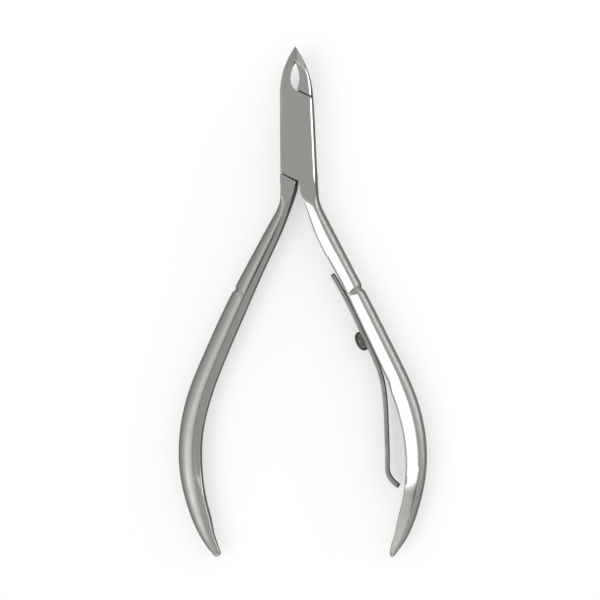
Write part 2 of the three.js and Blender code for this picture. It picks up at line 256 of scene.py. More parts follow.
handle = {
    # centre x, centre y, half width, half thickness
    "stations": [
        (1.96, -10.0, 1.6, 3.1), (2.68, -13.0, 1.32, 2.7), (4.25, -17.0, 1.48, 2.35),
        (8.24, -25.0, 1.76, 2.15), (13.0, -34.5, 1.93, 2.1), (17.45, -44.0, 2.08, 2.1),
        (20.73, -52.0, 2.26, 2.1), (22.55, -60.0, 2.3, 2.1), (22.6, -67.0, 2.22, 2.0),
        (21.4, -74.0, 1.85, 1.75), (20.4, -77.3, 1.63, 1.52), (19.15, -80.5, 1.22, 1.22),
        (18.19, -82.2, 0.97, 0.97), (17.66, -83.15, 0.78, 0.78), (17.4, -83.65, 0.62, 0.58),
        (17.24, -83.95, 0.3, 0.3),
    ],
    # what each handle has more than the stations: centre outwards, half width
    "more": {
        "front": [(0.08, 0.08), (0.16, 0.05), (0.03, 0.12), (-0.14, 0.02), (-0.16, -0.08), (-0.1, -0.09),
                  (0.0, -0.08), (0.11, -0.12), (0.25, -0.2), (0.19, -0.12), (0.16, -0.04), (0.2, -0.06),
                  (0.27, -0.1), (0.41, -0.14), (0.44, -0.16), (0.42, -0.04)],
        "back": [(-0.16, -0.16), (-0.18, -0.18), (-0.04, -0.13), (0.14, -0.06), (0.16, 0.14), (0.11, 0.11),
                 (0.04, 0.07), (0.0, 0.0), (0.0, 0.02), (-0.07, 0.08), (-0.11, 0.11), (-0.04, 0.04),
                 (0.02, 0.02), (-0.02, 0.02), (-0.05, 0.06), (-0.05, 0.05)],
    },
    "rings": 300,
    # flat inner face against the full thickness, along the handle
    "innerFace": [(-90, 0.86), (-76, 0.84), (-72, 0.74), (-68, 0.6), (-64, 0.56), (-52, 0.57), (-44, 0.6),
                  (-34.5, 0.63), (-25, 0.66), (-17, 0.73), (-13, 0.8), (-10, 0.86)],
    "ridge": 0.3,            # ridge line off the centre, outwards on the lap side, inwards on the other
    "roundFrom": 1.9,        # station where the joint's square section has become the handle's
    "facetCrown": 0.06,      # how far the facet bulges
    "facetFade": (64, 76),   # the facet gives way to the round end from here to here
    "innerRound": 0.14,      # rounding of the inner edges, and how much less deep it is on the facet
    "innerLess": 0.6,
    "ridgeRound": 0.15,      # where the outer oval leaves a ridge
    # height of the step from the ridge down to the facet, along the handle
    "stepLap": [(-90, 0.0), (-76.5, 0.0), (-71.5, 0.24), (-69, 0.16), (-66, 0.0), (-10, 0.0)],
    "stepOther": [(-90, 0.0), (-80, 0.0), (-72, 0.08), (-60, 0.1), (-40, 0.14), (-32, 0.22), (-26, 0.34),
                  (-19, 0.3), (-14, 0.0)],
    "stepSlant": 0.65,       # width of the step against its height, and its least width
    "stepLeast": 0.05,
    # how dark the painted shade in the crease under the step is
    "creaseShadeLap": [(-77.5, 0.0), (-76, 0.6), (-71, 0.9), (-68, 0.4), (-65, 0.0)],
    "creaseShadeOther": [(-80, 0.0), (-60, 0.12), (-40, 0.4), (-31, 0.6), (-26, 1.0), (-18, 0.9), (-13, 0.0)],
    "dullFrom": (69, 75),    # the ends are satin all round from here to here
    "notchY": -31.1,
    "notchHalfLength": 0.62,
    "notchIn": 0.34,         # depth of the notch in the outer side and in the faces
    "notchDown": 0.36,
    "notchLip": 0.15,        # softness of its edges and bottom
    "notchTaper": 0.25,      # its length at the inner end against the outer
    "notchReach": {"lap": (-1.05, 0.4), "other": (-0.42, 0.1)},    # where it runs out and is full, inwards
    "notchSide": (0.2, 1.0),
    "notchFull": 1.2,        # height off the middle where the notch has its full depth
    "notchRings": 41,
    "notchSpan": 1.3,        # how far those rings reach, against half the notch's length
}


# places in a section as pairs: n outwards and z up
def spot(n, z):
    return np.stack(np.broadcast_arrays(n, z), axis=-1)


# straight run of points from a to b at the given shares, one row of shares for each ring
def run(a, b, shares):
    t = np.atleast_2d(shares)[..., None]
    return a[:, None] * (1 - t) + b[:, None] * t


# lifts the middle of a straight run by a parabola, most where the inner face is low
def crowned(points, shares, side, flatness):
    points[..., 1] += side * handle["facetCrown"] * flatness[:, None] * 4 * shares * (1 - shares)
    return points


# Section of the handle: flat inner face, a flat facet up to the ridge, and a quarter oval from each
# ridge to the outer side. The ridge lies further out on the lap side and stands a step above the
# facet. Towards the joint it is mixed with the square section there, by the share of squareness.
def handleSection(half, thick, squareness, stepTop, stepLow, y):
    faceShare = np.interp(y, *np.array(handle["innerFace"]).T)
    face, flatness = faceShare * thick, 1 - smoothstep(-y, *handle["facetFade"])
    wideTop, wideLow = (handle["stepLeast"] + handle["stepSlant"] * step for step in (stepTop, stepLow))
    ridgeTop, ridgeLow = handle["ridge"] * half, -handle["ridge"] * half
    c = np.full_like(half, handle["innerRound"])
    arcCount = cornerAt[9] - cornerAt[2] - 1
    first = np.arcsin(np.clip(handle["ridgeRound"] / (half - ridgeTop), 0, 0.4))
    last = math.pi - np.arcsin(np.clip(handle["ridgeRound"] / (half - ridgeLow), 0, 0.4))
    share = np.linspace(0, 1, arcCount)[None]
    turn = first[:, None] * (1 - share) + last[:, None] * share
    ridge = np.where(turn < math.pi / 2, ridgeTop[:, None], ridgeLow[:, None])
    arc = spot(ridge + (half[:, None] - ridge) * np.sin(turn), thick[:, None] * np.cos(turn))
    riseTop = (thick - face) / (ridgeTop + half)
    riseLow = (thick - face) / (ridgeLow + half)
    fall = c * (1.0 - handle["innerLess"] * np.clip(flatness, 0, 1))
    inTop, nearTop = spot(-half, face - fall), spot(-half + c, face + c * riseTop)
    nearLow, inLow = spot(-half + c, -face - c * riseLow), spot(-half, -face + fall)
    even = np.linspace(0, 1, sectionSteps[1])[None]
    evenLow = np.linspace(0, 1, sectionSteps[9])[None, :-1]
    flat = cornerAt[14] - cornerAt[11]
    rounded = np.concatenate([
        inTop[:, None],
        crowned(run(nearTop, spot(ridgeTop - wideTop, thick - stepTop), even), even, 1, flatness),
        spot(ridgeTop, thick)[:, None], arc, spot(ridgeLow, -thick)[:, None],
        crowned(run(spot(ridgeLow - wideLow, -thick + stepLow), nearLow, evenLow), evenLow, -1, flatness),
        nearLow[:, None],
        run(inLow, inTop, np.arange(flat) / flat),
    ], axis=1)
    cs, zero = np.full_like(half, joint["edgeBreak"]), np.zeros_like(half)
    square = fillSides(np.stack([
        spot(-half, thick - cs), spot(-half + cs, thick), spot(ridgeTop, thick), spot(half - cs, thick),
        spot(half, thick - cs), spot(half, zero), spot(half, zero), spot(half, -thick + cs),
        spot(half - cs, -thick), spot(ridgeLow, -thick), spot(-half + cs, -thick),
        spot(-half, -thick + cs), spot(-half, zero), spot(-half, zero)], axis=1))
    w = squareness[:, None, None]
    return rounded * (1 - w) + square * w


# The V notch takes a share off the outer side and off both faces: 1 less a hyperbola of the distance
# along, over a length that narrows inwards. It runs out as a wedge towards the inner edge on the lap
# side, and at the ridge on the other.
def cutNotch(section, half, y):
    n, z = section[..., 0], section[..., 1]
    out = np.clip(n / half[:, None], -1, 1)
    lap, other = (smoothstep(out, *handle["notchReach"][face]) for face in ("lap", "other"))
    reach = np.where(z > 0, lap, other)
    length = handle["notchHalfLength"] * (handle["notchTaper"] + (1 - handle["notchTaper"]) * reach)
    away = np.abs(y - handle["notchY"])[:, None] / length
    lip = handle["notchLip"]
    depth = np.clip(1 + lip / 2 - np.sqrt(away**2 + lip**2), 0, 1)
    off = np.clip(np.abs(z) / handle["notchFull"], 0, 1)
    z = z - np.sign(z) * handle["notchDown"] * depth * reach * off
    n = n - handle["notchIn"] * depth * smoothstep(out, *handle["notchSide"])
    return np.stack([n, z], axis=-1)


# the leaf lies in the screw's own directions: along the handle, and off its inner face
spring = {
    "centre": (15.37, -39.65),
    "lean": 24.6,
    "faceOffset": 1.92,
    "thickness": 0.75,
    "width": 3.0,
    "cornerRadius": 0.09,
    "seat": 0.12,
    "hole": 1.15,
    # the seat on the handle that it lies on
    "flat": [(-60, 40), (-26, 3), (-18, 0.35), (-12, 0), (9.5, 0), (13, 0.6), (17, 2.6), (24, 12),
             (90, 90)],
    "path": [(-14.7, 0.45), (-9.0, 0.06), (0.0, 0.0), (4.5, 0.02), (8.0, 0.36), (12.7, 1.7),
             (18.6, 4.15), (24.4, 6.75), (26.1, 7.4), (27.4, 7.3), (29.1, 6.55)],
    "hookRound": 0.9,
}


# the screw's own directions: one along the handle, and one off its inner face
def screwWays():
    lean = math.radians(spring["lean"])
    along = np.array([math.sin(lean), -math.cos(lean), 0.0])
    return along, np.array([-math.cos(lean), -math.sin(lean), 0.0])


# How far the inner edge of each ring stands above the flat that the leaf lies on: its distance off
# the flat's line, less the flat's own height there.
def seatDepth(inner):
    along, off = (way[:2] for way in screwWays())
    away = inner - (np.array(spring["centre"]) + off * spring["faceOffset"])
    return np.clip(away @ off - np.interp(away @ along, *np.array(spring["flat"]).T), 0, None)


# Marks on the rings, from 0 to 1: crease for the painted shade under the steps, band for the satin
# outer side and ends, and edge, which is filled in later.
def ringMarks(shape, tailFrom, y, squareness):
    marks = {name: np.zeros(shape) for name in ("edge", "crease", "band")}
    # the crease mark is painted shade along the crease under the step
    for column, name in ((cornerAt[2] - 1, "creaseShadeLap"), (cornerAt[9] + 1, "creaseShadeOther")):
        marks["crease"][tailFrom:, column] = np.interp(y, *np.array(handle[name]).T)
    band = marks["band"][tailFrom:]
    band[:, cornerAt[2]:cornerAt[9] + 1] = (1 - squareness)[:, None]
    np.maximum(band, smoothstep(-y, *handle["dullFrom"])[:, None], out=band)
    return marks


# One half as rings from the blade tip to the end of the handle: corners filled in on the head, then
# the section carried along a cubic curve. The first column runs towards the handle side, and the lap
# layer is above for lapSide 1 and below for -1.
def halfRings(lapSide, body):
    thick = joint["halfThick"]
    yHead = np.concatenate([np.linspace(*levels) for levels in joint["levelRuns"]] + [joint["levels"]])
    yHead = np.unique(np.round(yHead, 4))[::-1]
    head = fillSides(headCorners(yHead, body))
    depth = head[..., 1] * lapSide
    headRings = np.stack([head[..., 0], np.broadcast_to(yHead[:, None], depth.shape), depth], axis=-1)

    stations = np.array(handle["stations"])
    stations[:, [0, 2]] += np.array(handle["more"][body])
    shares = np.linspace(0, 1, handle["rings"])
    line, _ = smoothCurve(stations, shares)
    notchShare = np.interp(-handle["notchY"], -line[:, 1], shares)
    span = handle["notchSpan"] * handle["notchHalfLength"] / abs(stations[-1][1] - stations[0][1])
    shares = np.sort(np.concatenate([shares, notchShare + np.linspace(-span, span, handle["notchRings"])]))
    value, rate = smoothCurve(stations, shares)
    tangent = rate[:, :2] / np.linalg.norm(rate[:, :2], axis=1, keepdims=True)
    y = value[:, 1]
    stationAt = np.interp(shares, stationShares(stations), np.arange(len(stations)))
    squareness = 1 - smoothstep(stationAt, 0.0, handle["roundFrom"])
    steps = [np.interp(y, *np.array(handle[name]).T) * (1 - squareness)
             for name in ("stepLap", "stepOther")]
    half = value[:, 2]
    section = handleSection(half, value[:, 3], squareness, *steps, y)
    section = cutNotch(section, half, y)
    outward = np.stack([-tangent[:, 1], tangent[:, 0]], axis=-1)
    if body == "front":
        pressed = seatDepth(value[:, :2] - half[:, None] * outward)
        share = 1 - (section[..., 0] + half[:, None]) / (half[:, None] * (1 + handle["ridge"]))
        section[..., 0] += pressed[:, None] * np.clip(share, 0, 1)
    place = value[:, None, :2] + section[..., :1] * outward[:, None]
    tail = np.concatenate([place, section[..., 1:] * lapSide], axis=-1)
    soft, z = joint["neckSoft"], tail[..., 2]      # the flats of the neck run out softly
    held = thick - soft * np.logaddexp(0, (thick - np.abs(z)) / soft)
    tail[..., 2] = np.clip(np.sign(z) * held, -thick, thick)
    bend = np.concatenate([[0], np.cumsum(np.linalg.norm(np.diff(value[:, :2], axis=0), axis=1))])
    along = np.concatenate([jaw["tip"] - yHead, jaw["tip"] - yHead[-1] + bend[1:]])
    rings = np.concatenate([headRings, tail[1:]], axis=0)
    return rings, along, ringMarks(rings.shape[:2], len(headRings), y[1:], squareness[1:])


# Ground surfaces of the jaws: the front bevel falls away from its border line, the back slopes
# forward to the tip, a narrow facet runs beside the cutting edge, and the hollow widens behind.
def grindJaws(points, body):
    thick, c = joint["halfThick"], joint["edgeBreak"]
    a, y, z = points[..., 0].copy(), points[..., 1], points[..., 2].copy()
    drop = math.tan(math.radians(jaw["bevelAngle"]))
    past = (-a - bevelBorder(y)) / math.sqrt(1 + jaw["bevelRun"] ** 2)
    top = thick - drop * np.clip(past, 0, None)
    if body == "back":
        rounded = smoothstep(past, 0, jaw["borderWidth"])
        top = top - jaw["borderStep"] * rounded * smoothstep(y, *jaw["stepFrom"])
    back = -thick + jaw["backSlopeRise"] * np.clip(y - jaw["backSlopeStart"], 0, None)
    beside = np.clip(1 + a / jaw["cuttingFacet"], 0, 1) * smoothstep(y, *jaw["facetFrom"])
    top = top - jaw["facetDrop"] * beside
    head = y > jaw["groundFrom"]
    high = np.where(a <= 0.01, top, thick) - np.minimum(c, thick - z)
    low = back + np.minimum(c, thick + z)
    z = np.where(head, np.minimum(np.maximum(z, low), high), z)
    hollow, full = hollowAt(y), jaw["flareFull"]
    begin, end = (-hollow - beyond for beyond in jaw["flareFrom"])
    near = smoothstep(a, begin, end) * ((y > jaw["hollowBottom"]) & (a < 0))
    a = a - near * jaw["hollowFlare"] * (thick - z) * np.clip(hollow / full - jaw["bladeGap"] / full, 0, 1)
    return np.stack([a, y, z], axis=-1)


# Distances along the rings and around each ring, summed from point to point, in tenths of a metre,
# as a lay for the finish.
def layOf(rings, along=None):
    if along is None:
        middle = rings.mean(axis=1) if len(rings) > 40 else rings[:, 0]
        along = np.concatenate([[0], np.cumsum(np.linalg.norm(np.diff(middle, axis=0), axis=1))])
    closed = np.concatenate([rings, rings[:, :1]], axis=1)
    around = np.cumsum(np.linalg.norm(np.diff(closed, axis=1), axis=2), axis=1)
    around = np.concatenate([np.zeros((len(rings), 1)), around], axis=1)
    return np.stack(np.broadcast_arrays(along[:, None], around), axis=-1) * 0.01


# A closed skin over rings of points: a four-sided face between neighbours on neighbouring rings, and
# a fan over each end.
def skin(name, rings, marks=None, along=None, sharp=30.0):
    count, around = rings.shape[:2]
    lay = layOf(rings, along)
    r, k = np.meshgrid(np.arange(count - 1), np.arange(around), indexing="ij")
    k2 = (k + 1) % around
    near, far = r * around, (r + 1) * around
    quads = np.stack([near + k, near + k2, far + k2, far + k], axis=-1)
    quadLay = np.stack([lay[r, k], lay[r, k + 1], lay[r + 1, k + 1], lay[r + 1, k]], axis=-2)
    points = np.concatenate([rings.reshape(-1, 3), rings[:1].mean(axis=1), rings[-1:].mean(axis=1)])
    ring = np.arange(around)
    nextRing = (ring + 1) % around
    first = np.stack([np.full(around, count * around), nextRing, ring], axis=-1)
    base = (count - 1) * around
    last = np.stack([np.full(around, count * around + 1), base + ring, base + nextRing], axis=-1)
    firstLay = np.stack([lay[0, ring], lay[0, ring + 1], lay[0, ring]], axis=-2)
    lastLay = np.stack([lay[-1, ring], lay[-1, ring], lay[-1, ring + 1]], axis=-2)
    faces = quads.reshape(-1, 4).tolist() + first.tolist() + last.tolist()
    mesh = bpy.data.meshes.new(name)
    mesh.from_pydata(toMetres(points).tolist(), [], faces)
    layer = mesh.uv_layers.new(name="lay")
    corners = np.concatenate([part.reshape(-1) for part in (quadLay, firstLay, lastLay)])
    layer.data.foreach_set("uv", corners)
    for label, values in (marks or {}).items():
        mark = mesh.attributes.new(label, "FLOAT", "POINT")
        mark.data.foreach_set("value", np.append(values.reshape(-1), [0.0, 0.0]))
    return pieceFrom(name, mesh, sharp)


# a new object in the scene
def put(name, data):
    made = bpy.data.objects.new(name, data)
    bpy.context.scene.collection.objects.link(made)
    return made


# a mesh made a piece of the scene, smooth but for edges sharper than the angle
def pieceFrom(name, mesh, sharp=30.0):
    tidyMesh(mesh)
    mesh.shade_smooth()
    mesh.set_sharp_from_angle(angle=math.radians(sharp))
    return put(name, mesh)


# Merges points nearer than 2 micrometres, drops faces without area and turns every face outwards.
def tidyMesh(mesh):
    work = bmesh.new()
    work.from_mesh(mesh)
    bmesh.ops.remove_doubles(work, verts=work.verts, dist=2e-6)
    bmesh.ops.dissolve_degenerate(work, edges=work.edges, dist=1e-6)
    bmesh.ops.recalc_face_normals(work, faces=work.faces)
    work.to_mesh(mesh)
    work.free()
    mesh.update()


# Takes the cutters' space out of a piece, and removes the cutters.
def cutAway(piece, *cutters):
    for cutter in cutters:
        cut = piece.modifiers.new("cut", "BOOLEAN")
        cut.operation = "DIFFERENCE"
        cut.solver = "EXACT"
        cut.object = cutter
    made = bpy.data.meshes.new_from_object(piece.evaluated_get(bpy.context.evaluated_depsgraph_get()))
    piece.modifiers.clear()
    old, piece.data = piece.data, made
    made.name = piece.name
    bpy.data.meshes.remove(old)
    for cutter in cutters:
        bpy.data.meshes.remove(cutter.data)
    return piece


# rings of a round shape about the z axis, from radius and height pairs
def roundRings(profile, steps=72):
    r, z = np.asarray(profile, float).T
    turn = np.arange(steps) * 2 * math.pi / steps
    height = np.repeat(z[:, None], steps, axis=1)
    return np.stack([np.outer(r, np.cos(turn)), np.outer(r, np.sin(turn)), height], axis=-1)


# quarter turn of a small radius about a middle, from one angle to another
def bendAt(middle, radius, start, end, steps=5):
    turn = np.radians(np.linspace(start, end, steps))
    return [(middle[0] + radius * math.cos(t), middle[1] + radius * math.sin(t)) for t in turn]


# Places points given as u along the handle, v up from the table and w off the inner face.
def atScrew(points):
    along, off = screwWays()
    face = np.array([*spring["centre"], 0.0]) + off * spring["faceOffset"]
    return face + points @ np.stack([along, np.array([0.0, 0.0, 1.0]), off])


# outline in u and w carried across the handle
def acrossPrism(outline, reach):
    corners = np.asarray(outline, float)
    layers = [np.insert(corners, 1, side, axis=1) for side in (-reach, reach)]
    return np.stack(layers)


# One half: its rings ground at the jaws and turned to its side, with the worn edges and the painted
# highlight along the bevel's border marked.
def makeHalf(name, side, lapSide, body, cadNode):
    rings, along, marks = halfRings(lapSide, body)
    rings = grindJaws(rings, body)
    edge, y = marks["edge"], rings[:, 0, 1]
    edge[:, cornerAt[[0, 1, 3, 4, 7, 8, 10, 11]]] = 1
    # the bevel's border gets the edge mark as a painted highlight line along it
    for corner, length in zip((2, 9), jaw["highlightBorder"]):
        edge[y > jaw["bevelTop"] - length, cornerAt[corner]] = 1
    rings[..., 0] *= side
    piece = skin(name, rings, marks, along)
    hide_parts(cadNode)
    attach(piece, body)
    return piece


rivet = {
    "radius": 1.6,
    "headRadius": 2.3,
    "headDepth": 0.7,
    "depthInFront": 1.9,
    "proud": 0.02,
    "boreDepth": 2.0,        # how deep the front half is bored
    "headBreak": 0.06,       # broken edge of the head, half the bend under it, and the end's edge
    "headBend": 0.04,
    "endBreak": 0.1,
    "running": 0.05,         # clearance in the back half
    "seated": 0.02,          # clearance in the front half
}

screw = {
    "headRadius": 1.95,
    "headHeight": 1.65,
    "sideHeight": 0.55,
    "shankRadius": 0.95,
    "depth": 2.6,
    "slotWidth": 0.5,
    "slotDepth": 0.5,
    "edgeRadius": 0.16,
    "domePower": 0.9,        # below 1 the dome is fuller than an oval
    "headGap": 0.03,         # between the head and the leaf
    "clearance": 0.02,
}


# rings of a plain cylinder about the z axis
def cylinder(radius, low, high):
    return roundRings([(0, low), (radius, low), (radius, high), (0, high)])


# the front half has a blind bore for the rivet and a hole for the screw
def makeFrontHalf():
    piece = makeHalf("frontHalf", 1, 1, "front", "front_half")
    bore = skin("boreCutter", cylinder(rivet["radius"] + rivet["seated"], -0.5, rivet["boreDepth"]))
    shank = cylinder(screw["shankRadius"] + screw["clearance"], -screw["depth"] - 0.1, 1.0)
    return cutAway(piece, bore, skin("holeCutter", atScrew(shank)))


# the back half has a bore right through, opened to a cone for the rivet's head
def makeBackHalf():
    piece = makeHalf("backHalf", -1, -1, "back", "back_half")
    thick = joint["halfThick"]
    r, head = rivet["radius"] + rivet["running"], rivet["headRadius"] + rivet["running"]
    seat = skin("seatCutter", roundRings([(0, -thick - 0.2), (head + 0.2, -thick - 0.2), (head, -thick),
                                          (r, -thick + rivet["headDepth"]), (r, 0.5), (0, 0.5)]))
    return cutAway(piece, seat)


frontHalf = makeFrontHalf()
backHalf = makeBackHalf()
print("halves made:", len(frontHalf.data.polygons), "and", len(backHalf.data.polygons), "faces")


# The rivet's profile: a low crown over a coned head, the shank, and a flat end in the front half.
def makeRivet():
    thick, proud = joint["halfThick"], rivet["proud"]
    head, r = rivet["headRadius"], rivet["radius"]
    crown = [(head * s, -thick - proud * (1 - s**4)) for s in np.linspace(0, 0.95, 12)]
    cone, bend, end = -thick + rivet["headDepth"], rivet["headBend"], rivet["depthInFront"]
    profile = crown + [(head, -thick + rivet["headBreak"]), (r + rivet["headBreak"], cone - bend),
                       (r, cone + bend), (r, end - rivet["endBreak"]), (r - rivet["endBreak"], end)]
    piece = skin("pivotRivet", roundRings(profile + [(0, end)], 96))
    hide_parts("pivot_rivet")
    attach(piece, "front")
    return piece


# The screw's profile: shank, flat under the head, a short side with rounded edges, and a domed top
# that is an oval whose radius is the cosine raised to a power. A bar is cut out of it for the slot.
def makeScrew():
    seat = spring["seat"] + spring["thickness"] + screw["headGap"]
    r, edge, low = screw["headRadius"], screw["edgeRadius"], seat + screw["sideHeight"]
    dome = screw["headHeight"] - screw["sideHeight"]
    turns = np.radians(np.linspace(0, 90, 26))
    profile = [(0, -screw["depth"]), (screw["shankRadius"], -screw["depth"]), (screw["shankRadius"], seat)]
    profile += bendAt((r - edge, seat + edge), edge, -90, 0)
    profile += [(r * math.cos(t) ** screw["domePower"], low + dome * math.sin(t)) for t in turns[:-1]]
    profile += [(0, low + dome)]
    piece = skin("springScrew", atScrew(roundRings(profile, 96)))
    top, half = low + dome, screw["slotWidth"] / 2
    bar = [(-3, top - screw["slotDepth"]), (3, top - screw["slotDepth"]), (3, top + 1), (-3, top + 1)]
    cutAway(piece, skin("slotCutter", atScrew(acrossPrism(bar, half))))
    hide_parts("spring_screw")
    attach(piece, "front")
    return piece


# The leaf: a flat strip section with rounded corners carried along its path. Its half width is the
# least of two quarter circles or ovals, one round each end.
def makeLeaf():
    path = spring["path"]
    length = chords(path).sum()
    half, thick, hook = spring["width"] / 2, spring["thickness"], spring["hookRound"]
    ends = 1 - np.cos(np.linspace(0, math.pi / 2, 12))
    middle = np.linspace(half, length - hook, 120)[1:-1]
    along = np.concatenate([half * ends, middle, length - hook * ends[::-1]])
    tail = np.sqrt(np.clip(half**2 - np.clip(half - along, 0, None) ** 2, 0, None))
    tip = np.sqrt(np.clip(1 - (np.clip(along - length + hook, 0, None) / hook) ** 2, 0, 1)) * half
    wide = np.minimum(tail, tip)
    value, rate = smoothCurve(path, along / length)
    tangent = rate / np.linalg.norm(rate, axis=1, keepdims=True)
    normal = np.stack([-tangent[:, 1], tangent[:, 0]], axis=-1)
    v, w = stripSection(wide, thick)
    place = value[:, None] + w[..., None] * normal[:, None]
    rings = np.stack([place[..., 0], v, place[..., 1] + spring["seat"]], axis=-1)
    edge = (np.abs(v) >= np.abs(v).max(axis=1, keepdims=True) - 0.02).astype(float)
    piece = skin("leafSpring", atScrew(rings), {"edge": edge})
    cutAway(piece, skin("holeCutter", atScrew(cylinder(spring["hole"], -1, 2))))
    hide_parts("leaf_spring")
    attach(piece, "leaf")
    return piece


# rounded rectangle for each half width, as distances across and up from the lower face
def stripSection(wide, thick):
    radius = np.minimum(spring["cornerRadius"], np.maximum(wide, 1e-4) * 0.9)[:, None]
    flat = np.linspace(-1, 1, 9)[None]
    inner = wide[:, None] - radius
    turn = np.radians(np.linspace(0, 90, 5))[None, 1:-1]
    upper = thick - radius
    right = inner + radius * np.cos(turn), upper + radius * np.sin(turn)
    across = np.concatenate([
        inner * flat[:, ::-1], -right[0][:, ::-1], -wide[:, None], -wide[:, None], -right[0],
        inner * flat, right[0][:, ::-1], wide[:, None], wide[:, None], right[0]], axis=1)
    fullTop, low = np.full_like(inner * flat, thick), np.zeros_like(inner * flat)
    up = np.concatenate([
        fullTop, right[1][:, ::-1], upper, radius, radius - radius * np.sin(turn),
        low, radius - radius * np.sin(turn)[:, ::-1], radius, upper, right[1]], axis=1)
    return across, up


pivotRivet = makeRivet()
springScrew = makeScrew()
leafSpring = makeLeaf()
print("rivet, screw and leaf made")

# finishes
finish = {
    "ground": {"colour": (0.60, 0.585, 0.565, 1), "roughness": 0.36},
    "polished": {"colour": (0.70, 0.69, 0.665, 1), "roughness": 0.12},
    "satin": {"colour": (0.70, 0.685, 0.66, 1), "roughness": 0.38},       # outer sides of the handles
    "leaf": {"colour": (0.47, 0.455, 0.43, 1), "roughness": 0.27},
    # the screw is coloured a darker grey than the other steel
    "screw": {"colour": (0.23, 0.22, 0.21, 1), "roughness": 0.34, "dark": (0.12, 0.115, 0.11, 1),
              "light": (0.36, 0.35, 0.33, 1), "ringDepth": 0.00001},
    "rivet": {"colour": (0.56, 0.545, 0.525, 1), "roughness": 0.3, "dark": (0.40, 0.39, 0.37, 1),
              "light": (0.68, 0.67, 0.65, 1), "ringDepth": 0.000008},
    "grainHeight": 0.000004,
    "leafGrainHeight": 0.000007,
    # metres: the ground flats off the middle plane, the ground tips up from the middle of the outline,
    # the dark oil and painted shade of the gap between the halves off the middle plane, and how far
    # it reaches from the rivet
    "flatFrom": (0.00252, 0.00257),
    "tipFrom": (0.0452, 0.046),
    "oilAndShadeFrom": (0.00016, 0.00006),
    "oilAndShadeReach": (0.0099, 0.0094),
    # how the noise of the streaks and of the turned rings becomes a mask
    "streaks": {"forged": (0.3, 0.75, 0.0, 0.22), "leaf": (0.3, 0.72, 0.0, 0.5),
                "turned": (0.35, 0.7, 0.0, 0.45)},
}

# laid over the metal in turn: how much of each mask, and its colour
layers = {
    "forged": {
        "streak": (1, (0.42, 0.41, 0.40, 1)), "smudge": (0.12, (0.50, 0.485, 0.46, 1)),
        "scratches": (0.16, (0.82, 0.81, 0.79, 1)), "specks": (0.25, (0.35, 0.33, 0.31, 1)),
        # the bright edges are rubbed metal and partly a painted highlight on the broken edges and the
        # bevel's border
        # the dark lap faces near the middle plane are dark oil and painted shade of the gap between the
        # halves
        "wearAndHighlight": (0.6, (0.88, 0.87, 0.85, 1)), "oilAndGapShade": (1, (0.11, 0.105, 0.098, 1)),
        # crease: painted shade, a dark line in the crease under the step
        "crease": (0.85, (0.16, 0.155, 0.145, 1)),
    },
    "leaf": {
        "streak": (1, (0.33, 0.32, 0.31, 1)), "smudge": (0.25, (0.36, 0.34, 0.32, 1)),
        "scratches": (0.4, (0.7, 0.69, 0.67, 1)), "wearAndHighlight": (0.45, (0.74, 0.73, 0.71, 1)),
    },
    "turned": {"streak": (1, "dark"), "smudge": (0.35, "light"), "specks": (0.4, "dark"),
               "scratches": (0.3, "light")},
}

# what each mask adds to the roughness and to the height of the bump
roughnessFrom = {
    "forged": {"uneven": 0.18, "smudge": 0.06, "specks": 0.25, "wearAndHighlight": -0.08},
    "leaf": {"uneven": 0.25, "smudge": 0.1},
    "turned": {"uneven": 0.2, "smudge": 0.12},
}
heightFrom = {
    "forged": {"scratches": -0.3, "specks": 0.3},
    "leaf": {"scratches": -0.6},
    "turned": {"scratches": -0.4},
}


# a new shader node with its settings
def node(tree, kind, **settings):
    made = tree.nodes.new(kind)
    for name, value in settings.items():
        setattr(made, name, value)
    return made


# sets a socket to a value, or joins it to another node's output
def feed(tree, socket, source):
    if isinstance(source, bpy.types.NodeSocket):
        tree.links.new(source, socket)
    else:
        socket.default_value = source


# one step of arithmetic on numbers
def calc(tree, operation, *sources, clamp=False):
    made = node(tree, "ShaderNodeMath", operation=operation, use_clamp=clamp)
    for socket, source in zip(made.inputs, sources):
        feed(tree, socket, source)
    return made.outputs[0]


# a vector stretched by another
def stretch(tree, vector, by):
    made = node(tree, "ShaderNodeVectorMath", operation="MULTIPLY")
    feed(tree, made.inputs[0], vector)
    feed(tree, made.inputs[1], by)
    return made.outputs[0]


# a value taken smoothly from one range to another, and held at its ends
def ramp(tree, value, low, high, start=0.0, end=1.0):
    made = node(tree, "ShaderNodeMapRange", interpolation_type="SMOOTHSTEP")
    for socket, source in zip(made.inputs, (value, low, high, start, end)):
        feed(tree, socket, source)
    return made.outputs[0]


# fractal noise between 0 and 1
def noise(tree, vector, scale, detail=2.0, roughness=0.5):
    made = node(tree, "ShaderNodeTexNoise")
    given = {"Vector": vector, "Scale": scale, "Detail": detail, "Roughness": roughness}
    for name, source in given.items():
        feed(tree, made.inputs[name], source)
    return made.outputs["Fac"]


# the first colour, taken to the second by a share
def mixColour(tree, share, first, second):
    made = node(tree, "ShaderNodeMix", data_type="RGBA")
    for socket, source in ((made.inputs[0], share), (made.inputs[6], first), (made.inputs[7], second)):
        feed(tree, socket, source)
    return made.outputs[2]


# Lays colours over a base in turn, each by its mask times its share.
def overlay(tree, base, masks, coats):
    for name, (share, colour) in coats.items():
        amount = masks[name] if share == 1 else calc(tree, "MULTIPLY", masks[name], share)
        base = mixColour(tree, amount, base, colour)
    return base


# Adds each mask times its amount to a value, and holds the last sum between 0 and 1 when asked.
def addMasks(tree, value, masks, amounts, clamp=False):
    for left, (name, amount) in enumerate(amounts.items(), 1 - len(amounts)):
        part = calc(tree, "MULTIPLY", masks[name], abs(amount))
        value = calc(tree, "ADD" if amount > 0 else "SUBTRACT", value, part, clamp=clamp and left == 0)
    return value


